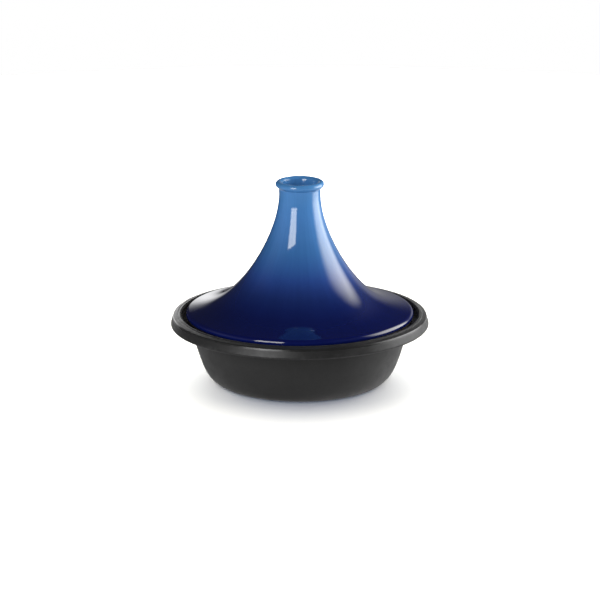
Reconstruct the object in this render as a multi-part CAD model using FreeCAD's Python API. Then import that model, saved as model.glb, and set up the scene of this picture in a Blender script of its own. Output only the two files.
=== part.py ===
import FreeCAD, Part
import os
from math import sin, cos, tan, radians, hypot, atan2, degrees, sqrt, pi

# Tagine pot: a shallow enamelled cast-iron pan with a flanged rim and a
# gallery, and a tall conical stoneware lid whose neck ends in a cupped knob.
# Millimetres. +Z up. Origin on the axis, on the plane of the pan's foot.
# Every piece is a body of revolution about Z, so each one is given by its
# profile in (radius, height), as tangent lines and arcs.

# ---------------------------------------------------------------- sizes
RIM_R = 150.4            # widest point, the lower corner of the pan's rim
FOOT_IN_R = 88.0         # ground foot ring of the pan, inside
FOOT_OUT_R = 93.0        # and outside
FOOT_STEP = 0.08         # the enamel stops this far above the ground plane
RECESS_Z = 1.0           # underside of the pan inside its foot ring
FLANGE_Z = 65.5          # underside of the rim, beside the wall
LEDGE_Z = 74.0           # ledge of the gallery, where the lid stands
GALLERY_R = 137.6        # upright wall of the gallery
BEAD_Z = 79.8            # crest of the bead round the gallery
WALL_T = 4.0             # pan wall, enamel included
FLOOR_T = 5.3            # pan floor above the ground plane
ENAMEL_T = 0.3           # vitreous enamel on the iron

LID_EDGE_R = 132.4       # widest point of the lid's rounded edge
LID_EDGE_ROUND = 4.5     # its radius
LID_EDGE_Z = 79.7        # height of the middle of the rounded edge
LID_T = 6.4              # lid wall, glaze on both sides included
GLAZE_T = 0.4            # stoneware glaze
LIP_R = 28.2             # widest point of the knob's lip
LIP_Z = 234.2            # its height
TOP_Z = 237.7            # top of the lip
CUP_FLOOR_Z = 214.7      # floor of the cup in the knob
HOLLOW_TOP_Z = 208.1     # top of the hollow inside the lid
LID_LIFT = 250.0         # travel of the lid along +Z, for the record


# ---------------------------------------------------------------- profiles
# A chain is a list of (start, middle, end, n0, nm, n1): three points of a
# line or an arc, and the unit normal at each, on the side that is free air
# (to the right of the way the chain runs).
def unit(a):
    return (cos(radians(a)), sin(radians(a)))


def normal(a):
    return (sin(radians(a)), -cos(radians(a)))


def add(p, q, k=1.0):
    return (p[0] + k * q[0], p[1] + k * q[1])


def piece(p0, a0, p1, a1):
    """One arc (or line) from p0 with heading a0 to p1 with heading a1."""
    turn = (a1 - a0 + 180.0) % 360.0 - 180.0
    chord = hypot(p1[0] - p0[0], p1[1] - p0[1])
    am = a0 + turn / 2.0
    if abs(turn) < 1e-6:
        pm = ((p0[0] + p1[0]) / 2.0, (p0[1] + p1[1]) / 2.0)
    else:
        sag = chord / 2.0 * tan(radians(turn / 4.0))
        mid = ((p0[0] + p1[0]) / 2.0, (p0[1] + p1[1]) / 2.0)
        side = degrees(atan2(p1[1] - p0[1], p1[0] - p0[0]))
        pm = add(mid, normal(side), sag)
    return (p0, pm, p1, normal(a0), normal(am), normal(a1))


def biarc(p0, a0, p1, a1):
    """Two tangent arcs from p0, heading a0, to p1, heading a1."""
    t0, t1 = unit(a0), unit(a1)
    v = (p1[0] - p0[0], p1[1] - p0[1])
    s = (t0[0] + t1[0], t0[1] + t1[1])
    vv = v[0] * v[0] + v[1] * v[1]
    vs = v[0] * s[0] + v[1] * s[1]
    tt = t0[0] * t1[0] + t0[1] * t1[1]
    straight = abs(v[0] * t0[1] - v[1] * t0[0]) < 1e-7 and abs(1.0 - tt) < 1e-9
    if straight:
        return [piece(p0, a0, p1, a0)]
    den = 2.0 * (1.0 - tt)
    if den < 1e-9:
        d = vv / (4.0 * (v[0] * t1[0] + v[1] * t1[1]))
    else:
        d = (-vs + sqrt(vs * vs + den * vv)) / den
    q0, q1 = add(p0, t0, d), add(p1, t1, -d)
    j = ((q0[0] + q1[0]) / 2.0, (q0[1] + q1[1]) / 2.0)
    aj = degrees(atan2(q1[1] - q0[1], q1[0] - q0[0]))
    return [piece(p0, a0, j, aj), piece(j, aj, p1, a1)]


def chain(nodes):
    """nodes: (radius, height, heading in degrees), joined by biarcs."""
    out = []
    for (x0, z0, a0), (x1, z1, a1) in zip(nodes, nodes[1:]):
        out += biarc((x0, z0), a0, (x1, z1), a1)
    return out


def inset(ch, t):
    """The same chain moved t into the material."""
    return [(add(p0, n0, -t), add(pm, nm, -t), add(p1, n1, -t), n0, nm, n1)
            for p0, pm, p1, n0, nm, n1 in ch]


def back(ch):
    return [(p1, pm, p0, n1, nm, n0) for p0, pm, p1, n0, nm, n1 in reversed(ch)]


def arc_to(node, radius, heading):
    """The node where an arc of this radius from node reaches heading."""
    x, z, a = node
    turn = (heading - a + 180.0) % 360.0 - 180.0
    k = radius if turn > 0 else -radius
    return (x + k * (sin(radians(a + turn)) - sin(radians(a))),
            z + k * (cos(radians(a)) - cos(radians(a + turn))), heading)


def line_to(node, x=None, z=None):
    """The node straight ahead, at radius x or at height z."""
    c, s = unit(node[2])
    d = (x - node[0]) / c if x is not None else (z - node[1]) / s
    return (node[0] + d * c, node[1] + d * s, node[2])


def V(p):
    return FreeCAD.Vector(p[0], 0.0, p[1])


def turned(loop):
    """A solid of revolution about Z from a closed run of lines and arcs."""
    edges = []
    for seg in loop:
        if len(seg) == 2:
            a, b = V(seg[0]), V(seg[1])
            if a.distanceToPoint(b) > 1e-7:
                edges.append(Part.LineSegment(a, b).toShape())
            continue
        a, m, b = V(seg[0]), V(seg[1]), V(seg[2])
        if a.distanceToPoint(b) < 1e-7:
            continue
        if m.distanceToLine(a, b - a) < 1e-6:
            edges.append(Part.LineSegment(a, b).toShape())
        else:
            edges.append(Part.Arc(a, m, b).toShape())
    wire = Part.Wire(Part.__sortEdges__(edges))
    assert wire.isClosed(), "open profile"
    face = Part.Face(wire)
    solid = face.revolve(FreeCAD.Vector(0, 0, 0), FreeCAD.Vector(0, 0, 1), 360.0)
    if solid.ShapeType != "Solid":
        solid = Part.Solid(solid) if solid.ShapeType == "Shell" else solid.Solids[0]
    if solid.Volume < 0:
        solid = solid.reversed()
    return solid


def ends(ch):
    return ch[0][0], ch[-1][2]


# ---------------------------------------------------------------- pan, outside
# Enamelled surface from the foot ring up the belly, under the rim, round the
# rim's two corners, over its shoulder and the shallow line beside the bead,
# to the bead's crest.
wall = [
    (FOOT_OUT_R, FOOT_STEP, 0.0),
    (100.90, 2.85, 32.5),
    (105.05, 6.32, 46.5),
    (108.45, 10.63, 56.5),
    (111.22, 15.47, 63.3),
    (113.57, 20.63, 67.4),
    (117.51, 31.40, 71.2),
    (121.00, 42.18, 72.6),
    (124.10, 52.80, 75.0),
]
knee = (126.12, 61.60, 79.0)                     # start of the fillet under the rim
under0 = arc_to(knee, 4.9, 2.0)
under0 = (under0[0], FLANGE_Z, 2.0)
low0 = line_to(under0, x=RIM_R - 2.0 * (1.0 - sin(radians(2.0))))
low1 = arc_to(low0, 2.0, 106.0)                  # lower corner of the rim
face1 = line_to(low1, z=76.9)                    # face leans in going up
top0 = arc_to(face1, 2.0, 166.0)                 # upper corner
top1 = line_to(top0, x=143.35)                   # shoulder, rising inwards
dip0 = arc_to(top1, 0.9, 218.0)
dip1 = arc_to(dip0, 0.85, 138.0)                 # shallow line round the rim
bead0 = line_to(dip1, x=dip1[0] - 0.42)
bead1 = arc_to(bead0, 2.15, 180.0)               # crest of the bead
dz_bead = BEAD_Z - bead1[1]
dx_bead = GALLERY_R - arc_to(bead1, 2.15, 270.0)[0]


def nudge(n):
    return (n[0] + dx_bead, n[1] + dz_bead, n[2])


bead0, bead1 = nudge(bead0), nudge(bead1)
pan_out = chain(wall + [knee, under0, low0, low1, face1, top0, top1, dip0, dip1,
                        bead0, bead1])

# ---------------------------------------------------------------- pan, inside
# From the bead's crest down the gallery, along the ledge, over its edge and
# down the inside of the belly to the middle of the floor.
gal0 = arc_to(bead1, 2.15, 270.0)
gal1 = line_to(gal0, z=LEDGE_Z + 1.2)
led0 = arc_to(gal1, 1.2, 180.0)
led1 = line_to(led0, x=125.1)
edge1 = arc_to(led1, 1.5, 262.0)
thick = [FLOOR_T - FOOT_STEP, 5.0, 4.75, 4.55, 4.35, 4.2, 4.08, WALL_T, WALL_T]
inner = []
for (x, z, a), t in zip(wall, thick):
    n = normal(a)
    inner.append((x - t * n[0], z - t * n[1], a + 180.0))
inner.reverse()
mid_in = (122.55, 65.2, 261.0)
floor_mid = (0.0, inner[-1][1], 180.0)
pan_in = chain([bead1, gal0, gal1, led0, led1, edge1, mid_in] + inner + [floor_mid])

# ---------------------------------------------------------------- pan, underside
rec0 = (0.0, RECESS_Z, 0.0)
rec1 = (84.5, RECESS_Z, 0.0)
rec2 = (FOOT_IN_R, FOOT_STEP, 0.0)
pan_under = chain([rec0, rec1, rec2])

iron_out = inset(pan_out, ENAMEL_T)
iron_in = inset(pan_in, ENAMEL_T)
iron_under = inset(pan_under, ENAMEL_T)

io0, io1 = ends(iron_out)
ii0, ii1 = ends(iron_in)
iu0, iu1 = ends(iron_under)
po0, po1 = ends(pan_out)
pi0, pi1 = ends(pan_in)
pu0, pu1 = ends(pan_under)

pot_casting = turned(
    iron_out + iron_in + [(ii1, iu0)] + iron_under
    + [(iu1, (FOOT_IN_R, 0.0)), ((FOOT_IN_R, 0.0), (FOOT_OUT_R, 0.0)),
       ((FOOT_OUT_R, 0.0), io0)])

enamel_wall = turned(pan_out + [(po1, io1)] + back(iron_out) + [(io0, po0)])
enamel_under = turned(pan_under + [(pu1, iu1)] + back(iron_under) + [(iu0, pu0)])
pot_outside_enamel = Part.makeCompound([enamel_wall, enamel_under])
pot_inside_enamel = turned(pan_in + [(pi1, ii1)] + back(iron_in) + [(ii0, pi0)])

# ---------------------------------------------------------------- lid, outside
# From the end of the glaze under the rounded edge, over the edge, up the
# brim, the cone and the neck, over the knob's lip and down into its cup.
ec = (LID_EDGE_R - LID_EDGE_ROUND, LID_EDGE_Z)


def on_edge(phi):
    return (ec[0] + LID_EDGE_ROUND * cos(radians(phi)),
            ec[1] + LID_EDGE_ROUND * sin(radians(phi)), phi + 90.0)


brim = [(122.0, 85.59, .235), (110.0, 88.98, .336), (98.0, 93.97, .512),
        (87.0, 100.83, .762)]
cone = [(104.0, 83.05, 1.176), (116.0, 70.78, .895), (128.0, 61.10, .734),
        (140.0, 52.93, .634), (152.0, 45.83, .550), (164.0, 39.69, .474),
        (176.0, 34.46, .398), (188.0, 30.16, .317), (200.0, 26.88, .227),
        (212.0, 24.77, .122)]
lid_nodes = [(r, z, 180.0 - degrees(atan2(s, 1.0))) for r, z, s in brim]
lid_nodes += [(r, z, degrees(atan2(1.0, -s))) for z, r, s in cone]
neck = (24.10, 224.0, 89.2)
neck_top = (24.16, 228.55, 88.4)
lip_under = arc_to(neck_top, 1.45, 22.0)         # tight hollow under the lip
lip_out = (LIP_R, LIP_Z, 90.0)
lip_top = (24.35, TOP_Z, 180.0)
lip_in = (20.30, 234.0, 261.0)
cup_wall = (17.55, 222.4, 252.5)
cup_low = arc_to(cup_wall, 10.5, 180.0)
cup_low = (cup_low[0], CUP_FLOOR_Z, 180.0)
cup_mid = (0.0, CUP_FLOOR_Z, 180.0)
lid_out = chain([on_edge(-52.0), on_edge(78.7)] + lid_nodes
                + [neck, neck_top, lip_under, lip_out, lip_top, lip_in,
                   cup_wall, cup_low, cup_mid])

# ---------------------------------------------------------------- lid, inside
# From the top of the hollow down inside the cone, along the underside of the
# brim and down the inner side of the foot ring.
hol0 = (0.0, HOLLOW_TOP_Z, 0.0)
hol1 = (9.6, HOLLOW_TOP_Z, 0.0)
inside = []
for x, z, a in reversed([n for n in lid_nodes if n[1] < 203.0]):
    n = normal(a)
    inside.append((x - LID_T * n[0], z - LID_T * n[1], a - 180.0))
und = line_to(inside[-1], x=inside[-1][0] + 0.9)
foot_side = arc_to(und, 3.0, -65.0)
foot_end = line_to(foot_side, z=75.0)
lid_in = chain([hol0, hol1] + inside + [und, foot_side, foot_end])

clay_out = inset(lid_out, GLAZE_T)
clay_in = inset(lid_in, GLAZE_T)
co0, co1 = ends(clay_out)
ci0, ci1 = ends(clay_in)
lo0, lo1 = ends(lid_out)
li0, li1 = ends(lid_in)

# bare clay of the foot ring, from the inner glaze line to the outer one
f0 = (ci1[0], ci1[1], -65.0)
f1 = line_to(f0, z=ci1[1] - 0.45)
f2 = (f1[0] + 1.15, LEDGE_Z, 0.0)
f3 = (129.0, LEDGE_Z, 0.0)
f4 = arc_to(f3, 0.78, 84.0)
f5 = line_to(f4, z=75.5)
f6 = (co0[0], co0[1], 38.0)
clay_foot = chain([f0, f1, f2, f3, f4, f5, f6])

lid_stoneware = turned(clay_in + clay_foot + clay_out + [(co1, ci0)])
lid_outside_glaze = turned(lid_out + [(lo1, co1)] + back(clay_out) + [(co0, lo0)])
lid_inside_glaze = turned(lid_in + [(li1, ci1)] + back(clay_in) + [(ci0, li0)])

# ---------------------------------------------------------------- write
os.makedirs("parts", exist_ok=True)
PARTS = {
    "pot_casting": pot_casting,
    "pot_outside_enamel": pot_outside_enamel,
    "pot_inside_enamel": pot_inside_enamel,
    "lid_stoneware": lid_stoneware,
    "lid_outside_glaze": lid_outside_glaze,
    "lid_inside_glaze": lid_inside_glaze,
}
for name, shape in PARTS.items():
    assert shape.isValid(), name
    shape.exportStep("parts/%s.step" % name)
    b = shape.BoundBox
    print("%-20s solids %d faces %d volume %.1f cm3  r %.2f  z %.2f..%.2f" % (
        name, len(shape.Solids), len(shape.Faces), shape.Volume / 1000.0,
        b.XMax, b.ZMin, b.ZMax))
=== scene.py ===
import math
from math import sin, cos, tan, radians, degrees, hypot, atan2, sqrt, pi

import bpy
import numpy as np
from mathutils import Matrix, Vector


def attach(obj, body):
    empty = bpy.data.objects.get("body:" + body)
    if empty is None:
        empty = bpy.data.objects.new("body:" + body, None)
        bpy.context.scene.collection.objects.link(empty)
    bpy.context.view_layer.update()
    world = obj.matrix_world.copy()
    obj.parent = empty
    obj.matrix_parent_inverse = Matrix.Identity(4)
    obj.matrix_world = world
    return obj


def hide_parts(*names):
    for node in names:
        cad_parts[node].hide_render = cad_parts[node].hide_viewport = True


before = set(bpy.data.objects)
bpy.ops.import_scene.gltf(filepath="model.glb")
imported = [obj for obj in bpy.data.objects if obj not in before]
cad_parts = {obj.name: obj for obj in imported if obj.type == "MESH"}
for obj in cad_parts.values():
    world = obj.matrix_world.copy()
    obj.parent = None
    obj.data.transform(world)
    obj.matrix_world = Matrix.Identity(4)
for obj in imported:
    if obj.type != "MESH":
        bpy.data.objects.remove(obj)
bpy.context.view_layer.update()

# =====================================================================
# Profiles. Millimetres here; every mesh is written in metres.
# A node is (radius, height, heading in degrees); nodes are joined by two
# tangent arcs, exactly as the solid pieces are, and sampled finely.
# =====================================================================
ENAMEL_T, GLAZE_T, LID_T = 0.3, 0.4, 6.4


def unit(a):
    return np.array([cos(radians(a)), sin(radians(a))])


def normal(a):
    return np.array([sin(radians(a)), -cos(radians(a))])


def arc_to(node, radius, heading):
    x, z, a = node
    turn = (heading - a + 180.0) % 360.0 - 180.0
    k = radius if turn > 0 else -radius
    return (x + k * (sin(radians(a + turn)) - sin(radians(a))),
            z + k * (cos(radians(a)) - cos(radians(a + turn))), heading)


def line_to(node, x=None, z=None):
    c, s = unit(node[2])
    d = (x - node[0]) / c if x is not None else (z - node[1]) / s
    return (node[0] + d * c, node[1] + d * s, node[2])


def biarc(p0, a0, p1, a1):
    """[(start, heading, turn, length), ...] of the two arcs from p0 to p1."""
    p0, p1 = np.array(p0, float), np.array(p1, float)
    t0, t1 = unit(a0), unit(a1)
    v, s = p1 - p0, t0 + t1
    vv, vs, tt = v @ v, v @ s, t0 @ t1
    if abs(v[0] * t0[1] - v[1] * t0[0]) < 1e-7 and abs(1.0 - tt) < 1e-9:
        return [(p0, a0, 0.0, sqrt(vv))]
    den = 2.0 * (1.0 - tt)
    d = vv / (4.0 * (v @ t1)) if den < 1e-9 else (-vs + sqrt(vs * vs + den * vv)) / den
    q0, q1 = p0 + d * t0, p1 - d * t1
    j = (q0 + q1) / 2.0
    aj = degrees(atan2(q1[1] - q0[1], q1[0] - q0[0]))
    out = []
    for a, h0, b, h1 in ((p0, a0, j, aj), (j, aj, p1, a1)):
        turn = (h1 - h0 + 180.0) % 360.0 - 180.0
        chord = float(np.linalg.norm(b - a))
        half = radians(abs(turn)) / 2.0
        out.append((a, h0, turn, chord if half < 1e-7 else chord * half / sin(half)))
    return out


def trace(nodes, step=2.2, most_turn=7.0):
    """Points and outward normals along the chain through nodes."""
    pts, nrm = [], []
    for n0, n1 in zip(nodes, nodes[1:]):
        for p, h, turn, length in biarc(n0[:2], n0[2], n1[:2], n1[2]):
            k = max(1, math.ceil(length / step), math.ceil(abs(turn) / most_turn))
            for i in range(k):
                t = i / k
                if abs(turn) < 1e-5:
                    q = p + unit(h) * length * t
                else:
                    r = length / radians(abs(turn))
                    sgn = 1.0 if turn > 0 else -1.0
                    a = radians(h + turn * t)
                    q = p + sgn * r * np.array([sin(a) - sin(radians(h)), cos(radians(h)) - cos(a)])
                pts.append(q)
                nrm.append(normal(h + turn * t))
    pts.append(np.array(nodes[-1][:2], float))
    nrm.append(normal(nodes[-1][2]))
    return np.array(pts), np.array(nrm)


# ---- pan, outside: foot ring to the bead's crest
wall = [(93.0, 0.08, 0.0), (100.90, 2.85, 32.5), (105.05, 6.32, 46.5), (108.45, 10.63, 56.5),
        (111.22, 15.47, 63.3), (113.57, 20.63, 67.4), (117.51, 31.40, 71.2),
        (121.00, 42.18, 72.6), (124.10, 52.80, 75.0)]
knee = (126.12, 61.60, 79.0)
under0 = (arc_to(knee, 4.9, 2.0)[0], 65.5, 2.0)
low0 = line_to(under0, x=150.4 - 2.0 * (1.0 - sin(radians(2.0))))
low1 = arc_to(low0, 2.0, 106.0)
face1 = line_to(low1, z=76.9)
top0 = arc_to(face1, 2.0, 166.0)
top1 = line_to(top0, x=143.35)
dip0 = arc_to(top1, 0.9, 218.0)
dip1 = arc_to(dip0, 0.85, 138.0)
bead0 = line_to(dip1, x=dip1[0] - 0.42)
bead1 = arc_to(bead0, 2.15, 180.0)
shift = (137.6 - arc_to(bead1, 2.15, 270.0)[0], 79.8 - bead1[1])
bead0 = (bead0[0] + shift[0], bead0[1] + shift[1], bead0[2])
bead1 = (bead1[0] + shift[0], bead1[1] + shift[1], bead1[2])
PAN_OUT = wall + [knee, under0, low0, low1, face1, top0, top1, dip0, dip1, bead0, bead1]
# ---- pan, inside: bead's crest to the middle of the floor
gal0 = arc_to(bead1, 2.15, 270.0)
gal1 = line_to(gal0, z=75.2)
led0 = arc_to(gal1, 1.2, 180.0)
led1 = line_to(led0, x=125.1)
edge1 = arc_to(led1, 1.5, 262.0)
inner = []
for (x, z, a), t in zip(wall, [5.22, 5.0, 4.75, 4.55, 4.35, 4.2, 4.08, 4.0, 4.0]):
    n = normal(a)
    inner.append((x - t * n[0], z - t * n[1], a + 180.0))
inner.reverse()
PAN_IN = [bead1, gal0, gal1, led0, led1, edge1, (122.55, 65.2, 261.0)] + inner \
    + [(0.0, inner[-1][1], 180.0)]
PAN_UNDER = [(0.0, 1.0, 0.0), (84.5, 1.0, 0.0), (88.0, 0.08, 0.0)]


# ---- lid, outside: end of the glaze under the edge, over to the cup's middle
def on_edge(phi):
    return (127.9 + 4.5 * cos(radians(phi)), 79.7 + 4.5 * sin(radians(phi)), phi + 90.0)


brim = [(122.0, 85.59, .235), (110.0, 88.98, .336), (98.0, 93.97, .512), (87.0, 100.83, .762)]
cone = [(104.0, 83.05, 1.176), (116.0, 70.78, .895), (128.0, 61.10, .734),
        (140.0, 52.93, .634), (152.0, 45.83, .550), (164.0, 39.69, .474),
        (176.0, 34.46, .398), (188.0, 30.16, .317), (200.0, 26.88, .227),
        (212.0, 24.77, .122)]
lid_nodes = [(r, z, 180.0 - degrees(atan2(s, 1.0))) for r, z, s in brim]
lid_nodes += [(r, z, degrees(atan2(1.0, -s))) for z, r, s in cone]
neck_top = (24.16, 228.55, 88.4)
cup_wall = (17.55, 222.4, 252.5)
cup_low = (arc_to(cup_wall, 10.5, 180.0)[0], 214.7, 180.0)
LID_OUT = [on_edge(-52.0), on_edge(78.7)] + lid_nodes + [
    (24.10, 224.0, 89.2), neck_top, arc_to(neck_top, 1.45, 22.0), (28.2, 234.2, 90.0),
    (24.35, 237.7, 180.0), (20.30, 234.0, 261.0), cup_wall, cup_low, (0.0, 214.7, 180.0)]
# ---- lid, inside: top of the hollow to the inner glaze line of the foot
inside = []
for x, z, a in reversed([n for n in lid_nodes if n[1] < 203.0]):
    n = normal(a)
    inside.append((x - LID_T * n[0], z - LID_T * n[1], a - 180.0))
und = line_to(inside[-1], x=inside[-1][0] + 0.9)
foot_side = arc_to(und, 3.0, -65.0)
LID_IN = [(0.0, 208.1, 0.0), (9.6, 208.1, 0.0)] + inside + [und, foot_side, line_to(foot_side, z=75.0)]


def foot_nodes(ci, co):
    """Bare clay of the lid's foot ring, between the two glaze lines."""
    f0 = (ci[0], ci[1], -65.0)
    f1 = line_to(f0, z=ci[1] - 0.45)
    f3 = (129.0, 74.0, 0.0)
    f4 = arc_to(f3, 0.78, 84.0)
    return [f0, f1, (f1[0] + 1.15, 74.0, 0.0), f3, f4, line_to(f4, z=75.5), (co[0], co[1], 38.0)]


# =====================================================================
# Turning profiles into meshes
# =====================================================================
SEGS = 288


def value_noise(seed, theta, s, waves):
    """Smooth periodic ripple over the turned surface: a seeded sum of waves.
    waves: [(amplitude, turns round the axis, waves per mm along)], ..."""
    rng = np.random.RandomState(seed)
    out = np.zeros(np.broadcast(theta, s).shape)
    for amp, m, k in waves:
        p, q = rng.uniform(0, 2 * pi, 2)
        sgn = 1 if rng.rand() < 0.5 else -1
        out += amp * np.sin(m * theta + sgn * 2 * pi * k * s + p) * np.cos(0.5 * q + 2 * pi * k * 0.37 * s + q)
    return out


def turn_mesh(name, runs, ripple=None, segs=SEGS):
    """A closed turned mesh. runs: [(points, normals, kind)], joined end to
    end round the section; kind 0 marks the runs that the ripple moves, and every face gets material index 0.
    ripple(theta, s, points) gives a radial wobble in mm along the normal for runs of kind 0."""
    pts, nrm, kinds, sharp, rip = [], [], [], [], []
    for i, (p, n, kind) in enumerate(runs):
        first = len(pts)
        p, n = np.asarray(p, float), np.asarray(n, float)
        s = np.concatenate([[0.0], np.cumsum(np.linalg.norm(np.diff(p, axis=0), axis=1))])
        for j in range(len(p)):
            if j == 0 and pts and np.linalg.norm(pts[-1] - p[0]) < 1e-6:
                sharp.append(len(pts) - 1)
                continue
            pts.append(p[j]); nrm.append(n[j])
            rip.append((kind == 0 and 0 < j < len(p) - 1, s[j], s[-1]))
        kinds += [kind] * (len(pts) - 1 - (first - 1 if first and sharp and sharp[-1] == first - 1 else first))
    closed = np.linalg.norm(pts[0] - pts[-1]) < 1e-6
    if closed:
        pts.pop(); nrm.pop(); rip.pop()
        sharp.append(0)
    pts, nrm = np.array(pts), np.array(nrm)
    count = len(pts)
    theta = np.arange(segs) * 2 * pi / segs
    axis_pt = pts[:, 0] < 1e-9
    verts, start = [], []
    for i in range(count):
        start.append(len(verts))
        if axis_pt[i]:
            verts.append((0.0, 0.0, pts[i, 1]))
            continue
        r = np.full(segs, pts[i, 0]); z = np.full(segs, pts[i, 1])
        if ripple is not None and rip[i][0]:
            s, total = rip[i][1], rip[i][2]
            fade = min(1.0, s / 6.0, (total - s) / 6.0)
            d = ripple(theta, s, pts[i]) * fade
            r = r + d * nrm[i, 0]; z = z + d * nrm[i, 1]
        verts += list(zip(r * np.cos(theta), r * np.sin(theta), z))
    faces, mats, sharp_rows = [], [], set(sharp)
    m = count if closed else count - 1
    while len(kinds) < m:
        kinds.append(kinds[-1])
    for i in range(m):
        a, b = start[i], start[(i + 1) % count]
        ia, ib = axis_pt[i], axis_pt[(i + 1) % count]
        if ia and ib:
            continue
        for k in range(segs):
            k2 = (k + 1) % segs
            if ia:
                faces.append((a, b + k2, b + k))
            elif ib:
                faces.append((a + k, a + k2, b))
            else:
                faces.append((a + k, a + k2, b + k2, b + k))
            mats.append(kinds[i])
    mesh = bpy.data.meshes.new(name)
    mesh.from_pydata([(x * .001, y * .001, z * .001) for x, y, z in verts], [], faces)
    mesh.polygons.foreach_set("use_smooth", np.ones(len(faces), bool))
    mesh.polygons.foreach_set("material_index", np.zeros(len(faces), np.int32))
    rows = {}
    for i in sharp_rows:
        if not axis_pt[i]:
            for k in range(segs):
                rows[frozenset((start[i] + k, start[i] + (k + 1) % segs))] = True
    flags = np.array([frozenset(e.vertices) in rows for e in mesh.edges], bool)
    at = mesh.attributes.new("sharp_edge", "BOOLEAN", "EDGE")
    at.data.foreach_set("value", flags)
    mesh.update()
    ob = bpy.data.objects.new(name, mesh)
    bpy.context.scene.collection.objects.link(ob)
    return ob


def inset(p, n, t):
    return p - n * t


def rev(p, n):
    return p[::-1], n[::-1]


def seg(a, b):
    """A straight run from a to b, with its right-hand normal."""
    a, b = np.asarray(a, float), np.asarray(b, float)
    d = (b - a) / max(np.linalg.norm(b - a), 1e-9)
    n = np.array([d[1], -d[0]])
    return np.array([a, b]), np.array([n, n])


def glaze_end(outer, clay, bulge):
    """Rounded end of a coat, from its outer corner to the clay."""
    o, c = np.asarray(outer, float), np.asarray(clay, float)
    mid, half = (o + c) / 2, (c - o) / 2
    out = np.array([half[1], -half[0]])
    out = out / np.linalg.norm(out) * np.linalg.norm(half) * bulge
    t = np.linspace(0, pi, 7)
    p = np.array([mid - half * cos(a) + out * sin(a) for a in t])
    n = np.array([-half * cos(a) + out * sin(a) for a in t])
    n /= np.linalg.norm(n, axis=1)[:, None]
    return p, n


# lid ----------------------------------------------------------------
lo_p, lo_n = trace(LID_OUT, step=1.9, most_turn=8.0)
li_p, li_n = trace(LID_IN, step=2.6, most_turn=9.0)
co_p, ci_p = inset(lo_p, lo_n, GLAZE_T), inset(li_p, li_n, GLAZE_T)
ft_p, ft_n = trace(foot_nodes(ci_p[-1], co_p[0]), step=1.2, most_turn=12.0)


def lid_ripple(theta, s, p):
    # faint unevenness of a glaze that ran and levelled in the kiln
    d = value_noise(11, theta, s, [(.030, 2, .004), (.026, 3, .007), (.020, 5, .011),
                                   (.014, 7, .019), (.008, 11, .031)])
    return d * min(1.0, 0.25 + p[0] / 60.0)


lid_outside = turn_mesh("lid_outside_glaze_coat", [
    (lo_p, lo_n, 0),
    (*seg(lo_p[-1], co_p[-1]), 1),
    (*rev(co_p, -lo_n), 1),
    (*rev(*glaze_end(lo_p[0], co_p[0], -0.9)), 1)], ripple=lid_ripple, segs=240)
lid_inside = turn_mesh("lid_inside_glaze_coat", [
    (li_p, li_n, 0),
    (*glaze_end(li_p[-1], ci_p[-1], 0.9), 1),
    (*rev(ci_p, -li_n), 1),
    (*seg(ci_p[0], li_p[0]), 1)], segs=216)
lid_body = turn_mesh("lid_stoneware_body", [
    (ci_p, li_n, 1), (ft_p, ft_n, 0), (co_p, lo_n, 1), (*seg(co_p[-1], ci_p[0]), 1)], segs=SEGS)

# pan ----------------------------------------------------------------
po_p, po_n = trace(PAN_OUT, step=1.9, most_turn=8.0)
pi_p, pi_n = trace(PAN_IN, step=2.4, most_turn=9.0)
pu_p, pu_n = trace(PAN_UNDER, step=3.0, most_turn=6.0)
io_p, ii_p, iu_p = (inset(po_p, po_n, ENAMEL_T), inset(pi_p, pi_n, ENAMEL_T),
                    inset(pu_p, pu_n, ENAMEL_T))


def pan_ripple(theta, s, p):
    # a sand casting is never quite true under its enamel
    return value_noise(5, theta, s, [(.030, 3, .006), (.024, 5, .013), (.016, 9, .021),
                                     (.010, 14, .035)])


pan_outside = turn_mesh("pot_outside_enamel_coat", [
    (po_p, po_n, 0), (*seg(po_p[-1], io_p[-1]), 1), (*rev(io_p, -po_n), 1),
    (*seg(io_p[0], po_p[0]), 1)], ripple=pan_ripple)
pan_recess = turn_mesh("pot_underside_enamel_coat", [
    (pu_p, pu_n, 0), (*seg(pu_p[-1], iu_p[-1]), 1), (*rev(iu_p, -pu_n), 1),
    (*seg(iu_p[0], pu_p[0]), 1)], segs=216)
pan_inside = turn_mesh("pot_inside_enamel_coat", [
    (pi_p, pi_n, 0), (*seg(pi_p[-1], ii_p[-1]), 1), (*rev(ii_p, -pi_n), 1),
    (*seg(ii_p[0], pi_p[0]), 1)], ripple=None)
ring_p = np.array([[88.0, 0.38], [88.0, 0.12], [88.12, 0.0], [92.88, 0.0], [93.0, 0.12], [93.0, 0.38]])
ring_n = np.array([[-1, 0], [-1, 0], [0, -1], [0, -1], [1, 0], [1, 0]], float)
pan_iron = turn_mesh("pot_iron_casting", [
    (iu_p, pu_n, 1), (ring_p, ring_n, 0), (io_p, po_n, 1), (ii_p, pi_n, 1),
    (*seg(ii_p[-1], iu_p[0]), 1)], segs=SEGS)

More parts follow.
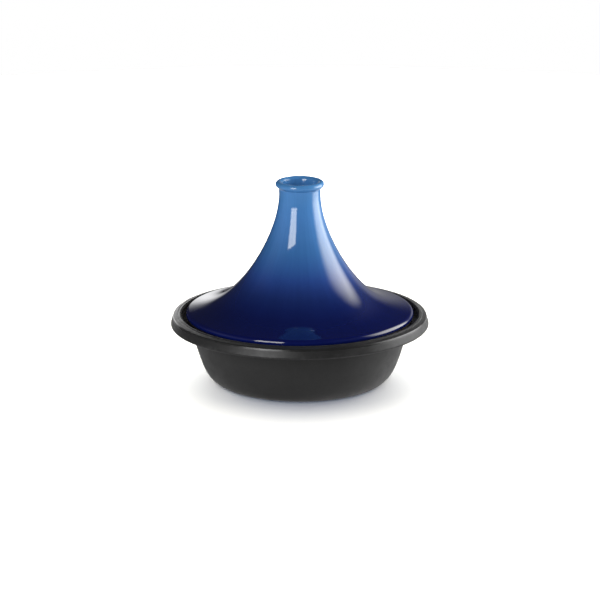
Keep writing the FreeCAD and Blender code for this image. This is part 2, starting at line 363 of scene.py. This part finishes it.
# =====================================================================
# Materials
# =====================================================================
class Tree:
    def __init__(self, name):
        self.mat = bpy.data.materials.new(name)
        self.mat.use_nodes = True
        self.nt = self.mat.node_tree
        self.nt.nodes.clear()
        self.out = self.nt.nodes.new("ShaderNodeOutputMaterial")
        self.p = self.nt.nodes.new("ShaderNodeBsdfPrincipled")
        self.link(self.p.outputs[0], self.out.inputs["Surface"])
        tc = self.nt.nodes.new("ShaderNodeTexCoord")
        self.obj = tc.outputs["Object"]
        sx = self.nt.nodes.new("ShaderNodeSeparateXYZ")
        self.link(self.obj, sx.inputs[0])
        self.x, self.y, self.z = sx.outputs
        self.rad = self.math("SQRT", self.math("ADD", self.math("MULTIPLY", self.x, self.x),
                                               self.math("MULTIPLY", self.y, self.y)))

    def link(self, a, b):
        self.nt.links.new(a, b)

    def put(self, sock, v):
        if isinstance(v, bpy.types.NodeSocket):
            self.link(v, sock)
        elif v is not None:
            sock.default_value = v

    def math(self, op, a, b=None, c=None, clamp=False):
        n = self.nt.nodes.new("ShaderNodeMath")
        n.operation = op
        n.use_clamp = clamp
        for s, v in zip(n.inputs, (a, b, c)):
            self.put(s, v)
        return n.outputs[0]

    def ramp_value(self, v, lo, hi, a=0.0, b=1.0, smooth=True):
        n = self.nt.nodes.new("ShaderNodeMapRange")
        n.interpolation_type = "SMOOTHSTEP" if smooth else "LINEAR"
        self.put(n.inputs["Value"], v)
        n.inputs["From Min"].default_value = lo
        n.inputs["From Max"].default_value = hi
        n.inputs["To Min"].default_value = a
        n.inputs["To Max"].default_value = b
        return n.outputs[0]

    def noise(self, scale, detail=2.0, rough=0.5, vec=None, dist=0.0):
        n = self.nt.nodes.new("ShaderNodeTexNoise")
        n.inputs["Scale"].default_value = scale
        n.inputs["Detail"].default_value = detail
        n.inputs["Roughness"].default_value = rough
        n.inputs["Distortion"].default_value = dist
        self.link(vec or self.obj, n.inputs["Vector"])
        return n.outputs["Fac"]

    def voronoi(self, scale, feature="F1", vec=None, rnd=1.0):
        n = self.nt.nodes.new("ShaderNodeTexVoronoi")
        n.feature = feature
        n.inputs["Scale"].default_value = scale
        n.inputs["Randomness"].default_value = rnd
        self.link(vec or self.obj, n.inputs["Vector"])
        return n.outputs["Distance"]

    def combine(self, x, y, z):
        n = self.nt.nodes.new("ShaderNodeCombineXYZ")
        for s, v in zip(n.inputs, (x, y, z)):
            self.put(s, v)
        return n.outputs[0]

    def ramp(self, fac, stops, interp="LINEAR"):
        n = self.nt.nodes.new("ShaderNodeValToRGB")
        n.color_ramp.interpolation = interp
        el = n.color_ramp.elements
        while len(el) > 1:
            el.remove(el[0])
        el[0].position = stops[0][0]
        el[0].color = (*stops[0][1], 1.0)
        for pos, col in stops[1:]:
            e = el.new(pos)
            e.color = (*col, 1.0)
        self.put(n.inputs[0], fac)
        return n.outputs[0]

    def mix(self, fac, a, b, kind="MIX"):
        n = self.nt.nodes.new("ShaderNodeMix")
        n.data_type = "RGBA"
        n.blend_type = kind
        n.clamp_factor = True
        self.put(n.inputs[0], fac)
        for s, v in ((n.inputs[6], a), (n.inputs[7], b)):
            if isinstance(v, tuple):
                v = (*v, 1.0)
            self.put(s, v)
        return n.outputs[2]

    def gain(self, col, k):
        """col times the number k."""
        n = self.nt.nodes.new("ShaderNodeVectorMath")
        n.operation = "SCALE"
        self.link(col, n.inputs[0])
        self.put(n.inputs["Scale"], k)
        return n.outputs[0]

    def bump(self, height, dist, strength=1.0, before=None):
        n = self.nt.nodes.new("ShaderNodeBump")
        n.inputs["Strength"].default_value = strength
        n.inputs["Distance"].default_value = dist
        self.link(height, n.inputs["Height"])
        if before is not None:
            self.link(before, n.inputs["Normal"])
        return n.outputs[0]

    def set(self, **kw):
        for k, v in kw.items():
            s = self.p.inputs[k.replace("_", " ")]
            if isinstance(v, tuple) and len(v) == 3:
                v = (*v, 1.0)
            self.put(s, v)


def srgb(r, g, b):
    def f(c):
        c /= 255.0
        return c / 12.92 if c <= 0.04045 else ((c + 0.055) / 1.055) ** 2.4
    return (f(r), f(g), f(b))


# ---- blue gloss glaze, shading from light blue at the knob to navy
GLAZE_STOPS = [  # height in mm, base colour (linear)
    (74.0, (0.0026, 0.0047, 0.066)),
    (82.0, (0.0026, 0.0047, 0.063)),
    (88.0, (0.0026, 0.0059, 0.064)),
    (95.0, (0.0034, 0.0074, 0.070)),
    (104.0, (0.0049, 0.0120, 0.090)),
    (113.0, (0.0077, 0.0197, 0.116)),
    (122.0, (0.0128, 0.0334, 0.171)),
    (132.0, (0.0196, 0.0573, 0.250)),
    (145.0, (0.0287, 0.0971, 0.325)),
    (160.0, (0.0386, 0.1384, 0.390)),
    (178.0, (0.0533, 0.1767, 0.471)),
    (200.0, (0.0652, 0.2094, 0.541)),
    (238.0, (0.0674, 0.2257, 0.531)),
]
g = Tree("blue_gloss_glaze")
wander = g.noise(9.0, 3.0, 0.5)
zz = g.math("ADD", g.z, g.math("MULTIPLY", g.math("SUBTRACT", wander, 0.5), 0.006))
fac = g.ramp_value(zz, 0.074, 0.238, smooth=False)
col = g.ramp(fac, [((h - 74.0) / 164.0, c) for h, c in GLAZE_STOPS])
# slow drifts of thickness, and fine vertical runs where the glaze flowed
ang = g.math("ARCTAN2", g.y, g.x)
runs = g.noise(1.0, 3.0, 0.6, vec=g.combine(g.math("MULTIPLY", g.math("COSINE", ang), 9.0),
                                           g.math("MULTIPLY", g.math("SINE", ang), 9.0),
                                           g.math("MULTIPLY", g.z, 14.0)))
drift = g.noise(22.0, 4.0, 0.55)
k = g.math("ADD", g.math("MULTIPLY", g.math("SUBTRACT", runs, 0.5), 0.22),
           g.math("MULTIPLY", g.math("SUBTRACT", drift, 0.5), 0.16))
col = g.gain(col, g.math("ADD", k, 1.0))
# painted reflection: the glaze is painted lighter over the rounded edge and the lip, in place of the light these
# convex bands reflect
edge = g.math("MULTIPLY", g.ramp_value(g.rad, 0.1275, 0.1312), g.ramp_value(g.z, 0.0835, 0.0800))
lip = g.math("MULTIPLY", g.ramp_value(g.z, 0.2345, 0.2374),
             g.math("MULTIPLY", g.ramp_value(g.rad, 0.0205, 0.0225), g.ramp_value(g.rad, 0.0278, 0.0262)))
sheen_mottle = g.noise(160.0, 3.0, 0.6)
col = g.mix(g.math("MULTIPLY", edge, g.ramp_value(sheen_mottle, 0.2, 0.8, 0.35, 0.75)), col, (.0040, .0105, .112))
col = g.mix(g.math("MULTIPLY", lip, g.ramp_value(sheen_mottle, 0.2, 0.8, 0.10, 0.35)), col, (.075, .235, .560))
# sparse fine specks deep in the glaze
sp = g.ramp_value(g.voronoi(520.0), 0.10, 0.05)
keep = g.ramp_value(g.noise(60.0, 1.0), 0.60, 0.68)
col = g.mix(g.math("MULTIPLY", g.math("MULTIPLY", sp, keep), 0.35), col, (.004, .010, .045))
peel = g.noise(230.0, 2.0, 0.45)
slow = g.noise(38.0, 2.0, 0.5)
rough = g.math("ADD", 0.045, g.math("MULTIPLY", g.ramp_value(g.noise(75.0, 4.0, 0.6), 0.35, 0.75), 0.03))
nb = g.bump(slow, 0.00012, 1.0)
nb = g.bump(peel, 0.000012, 1.0, nb)
g.set(Base_Color=col, Roughness=rough, IOR=1.50, Normal=nb)
GLAZE = g.mat

# ---- cream glaze inside the lid
c = Tree("cream_inside_glaze")
cc = c.ramp(c.noise(14.0, 4.0, 0.55), [(0.3, (.60, .545, .44)), (0.7, (.70, .655, .55))])
spk = c.ramp_value(c.voronoi(420.0), 0.13, 0.05)
spk = c.math("MULTIPLY", spk, c.ramp_value(c.noise(75.0, 1.0), 0.55, 0.65))
cc = c.mix(c.math("MULTIPLY", spk, 0.75), cc, (.22, .13, .07))
cc = c.mix(c.ramp_value(c.z, 0.0785, 0.0752, 0.0, 0.55), cc, (.42, .30, .19))
nc = c.bump(c.noise(40.0, 2.0), 0.00015)
nc = c.bump(c.noise(260.0, 2.0), 0.00002, 1.0, nc)
c.set(Base_Color=cc, Roughness=c.ramp_value(c.noise(90.0, 3.0), 0.3, 0.7, 0.07, 0.14), IOR=1.5, Normal=nc)
CREAM = c.mat

# ---- bare stoneware
s = Tree("bare_stoneware")
sc = s.ramp(s.noise(60.0, 5.0, 0.6), [(0.3, (.40, .29, .195)), (0.7, (.54, .42, .30))])
sv = s.math("MULTIPLY", s.ramp_value(s.voronoi(900.0), 0.16, 0.06), s.ramp_value(s.noise(140.0, 1.0), 0.5, 0.6))
sc = s.mix(s.math("MULTIPLY", sv, 0.8), sc, (.10, .06, .04))
# painted shade: the foot's outer side is painted near-black up to the glaze, for the shadowed gap between the lid
# and the rim
foot_painted_shade = s.math("MULTIPLY", s.ramp_value(s.rad, 0.1284, 0.1290), s.ramp_value(s.z, 0.0741, 0.0746))
sc = s.mix(s.math("MULTIPLY", foot_painted_shade, s.ramp_value(s.noise(180.0, 3.0), 0.2, 0.6, 0.86, 0.98)), sc, (.018, .014, .014))
ns = s.bump(s.noise(900.0, 4.0, 0.7), 0.00012)
ns = s.bump(s.noise(2400.0, 2.0, 0.6), 0.00004, 1.0, ns)
s.set(Base_Color=sc, Roughness=s.ramp_value(s.noise(300.0, 2.0), 0.3, 0.7, 0.78, 0.92), IOR=1.45, Normal=ns)
CLAY = s.mat


# ---- satin black vitreous enamel over sand-cast iron
def enamel(name, base, rlo, rhi, grain, rim_wear_and_highlight):
    b = Tree(name)
    mott = b.noise(26.0, 4.0, 0.6)
    bc = b.ramp(mott, [(0.3, tuple(v * 0.86 for v in base)), (0.7, tuple(v * 1.16 for v in base))])
    fine = b.noise(950.0, 3.0, 0.65)
    bc = b.gain(bc, b.ramp_value(fine, 0.3, 0.7, 0.88, 1.14))
    if rim_wear_and_highlight:
        # greyer, lighter enamel in patches towards the bottom of the rim's outer face, and a painted highlight along
        # the bead's crest
        outer_face_lighter = b.math("MULTIPLY", b.ramp_value(b.rad, 0.1490, 0.1503), b.ramp_value(b.noise(120.0, 4.0, 0.6), 0.42, 0.70))
        crest_painted_highlight = b.math("MULTIPLY", b.ramp_value(b.z, 0.0792, 0.0798), b.ramp_value(b.noise(150.0, 4.0, 0.6), 0.35, 0.70))
        bc = b.mix(b.math("MULTIPLY", b.math("MAXIMUM", outer_face_lighter, crest_painted_highlight), 0.5), bc, tuple(v * 2.4 for v in base))
    ro = b.ramp_value(b.noise(70.0, 4.0, 0.6), 0.30, 0.72, rlo, rhi)
    ro = b.math("ADD", ro, b.math("MULTIPLY", b.math("SUBTRACT", fine, 0.5), 0.10))
    if rim_wear_and_highlight:
        # the enamel ran smooth over the rim's rounded top corner and has been polished there by hands
        corner = b.math("MULTIPLY", b.math("MULTIPLY", b.ramp_value(b.z, 0.0749, 0.0762), b.ramp_value(b.z, 0.0784, 0.0778)),
                        b.ramp_value(b.rad, 0.1462, 0.1472))
        ro = b.math("SUBTRACT", ro, b.math("MULTIPLY", corner, 0.22))
    nn = b.bump(b.noise(60.0, 3.0, 0.5), 0.00016)
    nn = b.bump(b.noise(520.0, 3.0, 0.6), grain, 1.0, nn)
    nn = b.bump(b.voronoi(1300.0, "SMOOTH_F1"), grain * 0.35, 1.0, nn)
    b.set(Base_Color=bc, Roughness=ro, IOR=1.45, Specular_IOR_Level=0.38, Normal=nn)
    return b.mat


ENAMEL = enamel("satin_black_enamel", (.0175, .0175, .0177), 0.40, 0.50, 0.00010, True)
ENAMEL_IN = enamel("satin_black_enamel_inside", (.0165, .0165, .0170), 0.24, 0.33, 0.00005, False)

# ---- ground bare iron of the foot ring
i = Tree("ground_cast_iron")
rings = i.noise(1.0, 2.0, 0.6, vec=i.combine(i.math("MULTIPLY", i.rad, 5200.0), 0.0, 0.0))
arcs = i.noise(1.0, 2.0, 0.5, vec=i.combine(i.math("MULTIPLY", i.rad, 2400.0),
                                            i.math("MULTIPLY", i.x, 30.0), i.math("MULTIPLY", i.y, 30.0)))
blot = i.noise(55.0, 5.0, 0.6)
ic = i.ramp(blot, [(0.25, (.17, .165, .16)), (0.75, (.33, .32, .31))])
ic = i.mix(i.math("MULTIPLY", i.ramp_value(i.noise(130.0, 4.0, 0.7), 0.60, 0.75), 0.45), ic, (.16, .075, .035))
ni = i.bump(rings, 0.00006)
ni = i.bump(arcs, 0.00008, 1.0, ni)
i.set(Base_Color=ic, Metallic=0.9, Roughness=i.ramp_value(arcs, 0.3, 0.7, 0.36, 0.58), Normal=ni)
IRON = i.mat

for ob, mat, body, node, slot in (
        (lid_outside, GLAZE, "lid", "lid_outside_glaze", "blue_glaze"),
        (lid_inside, CREAM, "lid", "lid_inside_glaze", "inside_glaze"),
        (lid_body, CLAY, "lid", "lid_stoneware", "stoneware"),
        (pan_outside, ENAMEL, "pot", "pot_outside_enamel", "black_enamel"),
        (pan_recess, ENAMEL, "pot", "pot_outside_enamel", "black_enamel"),
        (pan_inside, ENAMEL_IN, "pot", "pot_inside_enamel", "black_enamel_inside"),
        (pan_iron, IRON, "pot", "pot_casting", "cast_iron")):
    ob.data.materials.append(mat)
    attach(ob, body)
    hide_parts(node)


# =====================================================================
# Stage: pale round floor, soft boxes, camera
# =====================================================================
def face_mesh(name, verts, faces):
    me = bpy.data.meshes.new(name)
    me.from_pydata(verts, [], faces)
    me.update()
    ob = bpy.data.objects.new(name, me)
    bpy.context.scene.collection.objects.link(ob)
    return ob


# the floor ends where its light would fall off, and the white surroundings take over
floor = face_mesh("floor", [(1.75 * math.cos(math.radians(3.0 * i)), 1.75 * math.sin(math.radians(3.0 * i)), 0.0)
                            for i in range(120)], [tuple(range(120))])
fm = bpy.data.materials.new("floor_paper")
fm.use_nodes = True
fb = fm.node_tree.nodes["Principled BSDF"]
fb.inputs["Base Color"].default_value = (.86, .86, .86, 1)
fb.inputs["Roughness"].default_value = 0.95
fb.inputs["Specular IOR Level"].default_value = 0.0
fb.inputs["Emission Color"].default_value = (.10, .30, 1.0, 1)
fb.inputs["Emission Strength"].default_value = 0.03
floor.data.materials.append(fm)


def look(ob, target):
    d = Vector(target) - ob.location
    ob.rotation_mode = "QUATERNION"
    ob.rotation_quaternion = d.to_track_quat("-Z", "Y")


PIECES = [lid_outside, lid_inside, lid_body, pan_outside, pan_recess, pan_inside, pan_iron]


def only_on(ob, objects):
    group = bpy.data.collections.new(ob.name + "_on")
    for o in objects:
        group.objects.link(o)
    ob.light_linking.receiver_collection = group


def feather(li, left, right, low, high):
    """Soft edges: the share of the panel's width or height over which it fades."""
    li.use_nodes = True
    nt = li.node_tree
    em = nt.nodes["Emission"]
    geo = nt.nodes.new("ShaderNodeNewGeometry")
    sep = nt.nodes.new("ShaderNodeSeparateXYZ")
    nt.links.new(geo.outputs["Parametric"], sep.inputs[0])

    def rise(sock, lo, hi):
        n = nt.nodes.new("ShaderNodeMapRange")
        n.interpolation_type = "SMOOTHSTEP"
        nt.links.new(sock, n.inputs["Value"])
        n.inputs["From Min"].default_value = lo
        n.inputs["From Max"].default_value = hi
        return n.outputs[0]
    out = None
    for sock, lo, hi in ((sep.outputs[0], 0.0, left), (sep.outputs[0], 1.0, 1.0 - right),
                         (sep.outputs[1], 0.0, low), (sep.outputs[1], 1.0, 1.0 - high)):
        if abs(hi - lo) < 1e-6:
            continue
        v = rise(sock, lo, hi)
        if out is None:
            out = v
        else:
            m = nt.nodes.new("ShaderNodeMath")
            m.operation = "MULTIPLY"
            nt.links.new(out, m.inputs[0]); nt.links.new(v, m.inputs[1])
            out = m.outputs[0]
    nt.links.new(out, em.inputs["Strength"])


def panel(name, az, dist, z0, z1, width, radiance, color=(1, 1, 1), soft=None, on=None):
    """Upright soft box facing the axis: az 0 is the camera's side, 90 is +X."""
    a = radians(az)
    li = bpy.data.lights.new(name, "AREA")
    li.shape = "RECTANGLE"
    li.size, li.size_y = width, z1 - z0
    li.color = color
    li.energy = radiance * pi * width * (z1 - z0)
    if soft:
        feather(li, *soft)
    ob = bpy.data.objects.new(name, li)
    bpy.context.scene.collection.objects.link(ob)
    ob.location = (sin(a) * dist, -cos(a) * dist, (z0 + z1) / 2)
    look(ob, (0, 0, (z0 + z1) / 2))
    ob.visible_camera = False
    only_on(ob, PIECES if on is None else on)
    return ob


LID = [lid_outside, lid_inside, lid_body]
PAN = [pan_outside, pan_recess, pan_inside, pan_iron]
# key light, front left: the upright bar of light on the neck and the short one on the edge;
# the glaze and the enamel each have their own copy of a light, so that each is exposed well
panel("key_on_lid", -30.7, 1.50, 0.20, 1.10, 0.86, 9.6, (1.0, .99, .92), soft=(.16, .08, .03, .03), on=LID)
panel("key_on_pan", -31.5, 1.50, 0.20, 1.10, 0.83, 9.6, soft=(.10, .10, .03, .03), on=PAN)
# large light on the right, close to the floor, fading out at its top
for name, radiance, colour, low, on in (("side_on_lid", 7.2, (1.0, .98, .87), .30, LID),
                                   ("side_on_pan", 8.4, (1.0, 1.0, 1.0), .45, PAN)):
    panel(name, 99.0, 0.75, -0.16, 0.93, 1.03, radiance, colour, soft=(.36, .33, low, .46), on=on)
# bright strip of the backdrop, low behind on the left
panel("backdrop_strip", -172.9, 1.209, -0.12, 0.46, 0.50, 2.3, soft=(.40, .36, .55, .45),
      on=LID + [pan_outside, pan_recess, pan_iron])
# the same backdrop as the satin enamel sees it, wider and fading upwards
panel("backdrop_on_pan", -168.0, 1.20, 0.00, 0.88, 1.80, 3.2, soft=(.45, .15, .10, .75), on=[pan_outside])
# the ceiling above right lightens the brim and has no reflection of its own
above = panel("ceiling_on_lid", 115.0, 0.80, 0.75, 1.45, 0.80, 3.6, (.95, 1.06, 1.0), on=LID)
above.visible_glossy = False
panel("backdrop_low_on_pan", 180.0, 1.20, -0.40, 0.06, 3.2, 0.50, soft=(.15, .15, .10, .20), on=[pan_outside])


def floor_light(name, az, dist, z, width, height, colour):
    """Lights the floor only; colour is its radiance."""
    k = max(colour)
    a = radians(az)
    li = bpy.data.lights.new(name, "AREA")
    li.shape = "RECTANGLE"
    li.size, li.size_y = width, height
    li.color = [c / k for c in colour]
    li.energy = k * pi * width * height
    ob = bpy.data.objects.new(name, li)
    bpy.context.scene.collection.objects.link(ob)
    ob.location = (sin(a) * dist, -cos(a) * dist, z)
    look(ob, (0, 0, 0))
    ob.visible_camera = False
    only_on(ob, [floor])


floor_light("floor_top", 0.0, 0.0, 2.6, 12.0, 12.0, (.57, .57, .59))
floor_light("floor_top_mid", 0.0, 0.0, 4.0, 5.0, 5.0, (1.07, 1.03, .83))
for az, colour in ((0, (2.1, 2.5, 3.0)), (90, (2.9, 2.8, 2.8)), (135, (10.1, 9.7, 8.6)),
                   (180, (13.0, 13.3, 12.9)), (225, (9.6, 9.2, 7.9)), (270, (3.7, 3.6, 3.6))):
    floor_light("floor_side_%d" % az, az, 2.6, 1.15, 2.1, 1.1, colour)
# the paper sweep is only a ground to stand on: what the gloss mirrors is the dim room below
floor.visible_glossy = False
floor.visible_diffuse = False
floor.visible_shadow = False

# soft fill from behind, so the far side is lit too; it draws no highlights
fill = panel("fill_behind", 180.0, 1.60, 0.10, 1.50, 2.6, 0.55)
fill.visible_glossy = False

w = bpy.data.worlds.new("studio")
bpy.context.scene.world = w
w.use_nodes = True
wt = Tree.__new__(Tree)
wt.nt = w.node_tree
wt.nt.nodes.clear()
wo = wt.nt.nodes.new("ShaderNodeOutputWorld")
wc = wt.nt.nodes.new("ShaderNodeTexCoord")
ws = wt.nt.nodes.new("ShaderNodeSeparateXYZ")
wt.link(wc.outputs["Generated"], ws.inputs[0])
wx, wy, wz = ws.outputs
# azimuth in degrees, 0 towards the camera's side and 90 towards +X
waz = wt.math("MULTIPLY", wt.math("ARCTAN2", wx, wt.math("MULTIPLY", wy, -1.0)), degrees(1.0))


def hump(sock, lo, lo1, hi1, hi):
    return wt.math("MULTIPLY", wt.ramp_value(sock, lo, lo1), wt.ramp_value(sock, hi, hi1))


def total(*terms):
    out = terms[0]
    for t in terms[1:]:
        out = wt.math("ADD", out, t)
    return out


def times(k, *terms):
    out = k
    for t in terms:
        out = wt.math("MULTIPLY", out, t)
    return out


room = total(
    0.03,
    times(0.22, hump(waz, -125.0, -85.0, -55.0, -30.0), hump(wz, -0.35, -0.02, 0.30, 0.75)),
    times(0.38, hump(waz, 118.0, 130.0, 152.0, 172.0), hump(wz, -0.22, -0.10, 0.06, 0.30)),
    times(0.28, wt.ramp_value(waz, 140.0, 176.0), hump(wz, -0.30, -0.14, 0.04, 0.32)),
    times(0.10, hump(waz, 20.0, 60.0, 140.0, 165.0), hump(wz, 0.0, 0.3, 0.6, 0.85)),
    # the dim floor of the room
    times(0.15, wt.ramp_value(wz, -0.03, -0.10), hump(waz, -110.0, -60.0, 60.0, 120.0)),
    times(0.24, wt.ramp_value(wz, -0.17, -0.42)),
    times(0.26, hump(wz, -0.97, -0.66, -0.50, -0.20)),
    times(0.42, wt.ramp_value(wz, -0.10, -0.40), hump(waz, 40.0, 95.0, 150.0, 178.0)))
bg_room = wt.nt.nodes.new("ShaderNodeBackground")
bg_room.inputs[0].default_value = (1, 1, 1, 1)
wt.link(room, bg_room.inputs[1])
bg_pale = wt.nt.nodes.new("ShaderNodeBackground")
bg_pale.inputs[0].default_value = (1, 1, 1, 1)
bg_pale.inputs[1].default_value = 1.0
lp = wt.nt.nodes.new("ShaderNodeLightPath")
mx = wt.nt.nodes.new("ShaderNodeMixShader")
wt.link(lp.outputs["Is Camera Ray"], mx.inputs[0])
wt.link(bg_room.outputs[0], mx.inputs[1])
wt.link(bg_pale.outputs[0], mx.inputs[2])
wt.link(mx.outputs[0], wo.inputs[0])

cam_data = bpy.data.cameras.new("camera")
cam_data.lens = 216.0
cam_data.sensor_width = 36.0
cam_data.clip_start, cam_data.clip_end = 0.1, 60.0
cam = bpy.data.objects.new("camera", cam_data)
bpy.context.scene.collection.objects.link(cam)
elev, dist = radians(15.66), 4.194
aim = Vector((0.0003, 0.0, 0.0947))
cam.location = aim + Vector((0, -cos(elev) * dist, sin(elev) * dist))
look(cam, aim)
bpy.context.scene.camera = cam
bpy.context.scene.view_settings.view_transform = "Standard"
bpy.context.scene.view_settings.look = "None"
